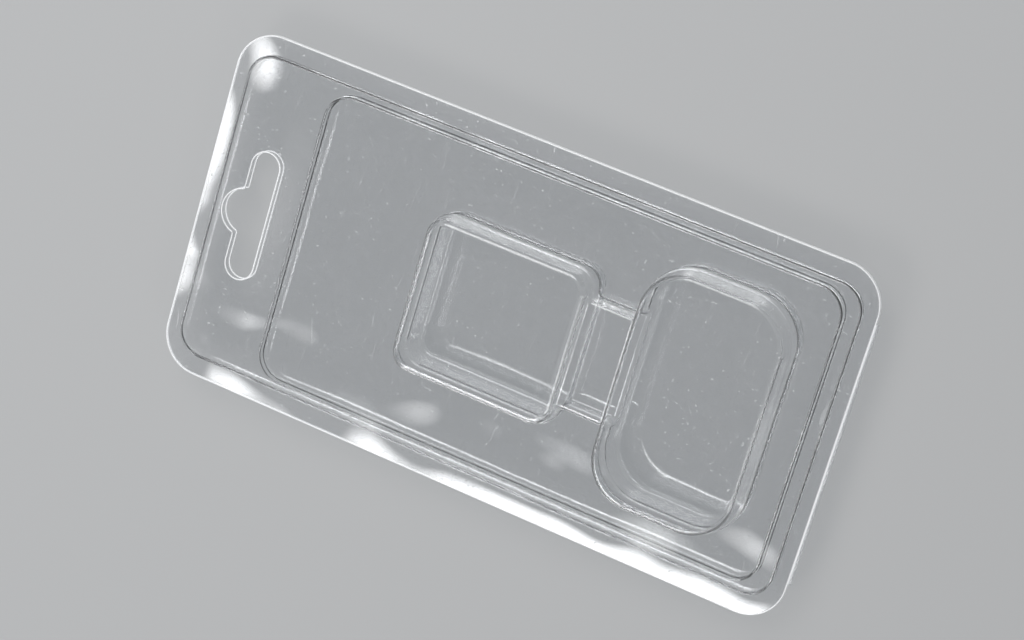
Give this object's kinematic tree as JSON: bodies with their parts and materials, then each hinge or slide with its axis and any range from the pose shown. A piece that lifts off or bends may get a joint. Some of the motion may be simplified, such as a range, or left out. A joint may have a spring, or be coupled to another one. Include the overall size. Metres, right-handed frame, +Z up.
{
  "type": "plastic clamshell pack",
  "caption": "Clear folded clamshell hang pack with a box-and-well product pocket in both halves, a hang slot in its header and a living hinge at the far end.",
  "frame": {"origin": "under the middle of the shut pack, on the surface that its back pocket rests on", "axes": "+X along the pack from the hang slot towards the hinge, +Y across it, +Z up through the front half"},
  "size_m": [0.1612, 0.084, 0.0164],
  "materials": {
    "clear_sheet": "clear glossy formed sheet with fine scratches"
  },
  "bodies": {
    "back": {"back_shell": "clear_sheet", "living_hinge": "clear_sheet"},
    "front": {"front_shell": "clear_sheet"}
  },
  "joints": [
    {"name": "front_open", "type": "hinge", "parent": "back", "child": "front", "pos_m": [0.08057, 0, 0.0082], "axis": [0, 1, 0], "range_deg": [0, 180], "deforming": ["living_hinge"]}
  ]
}
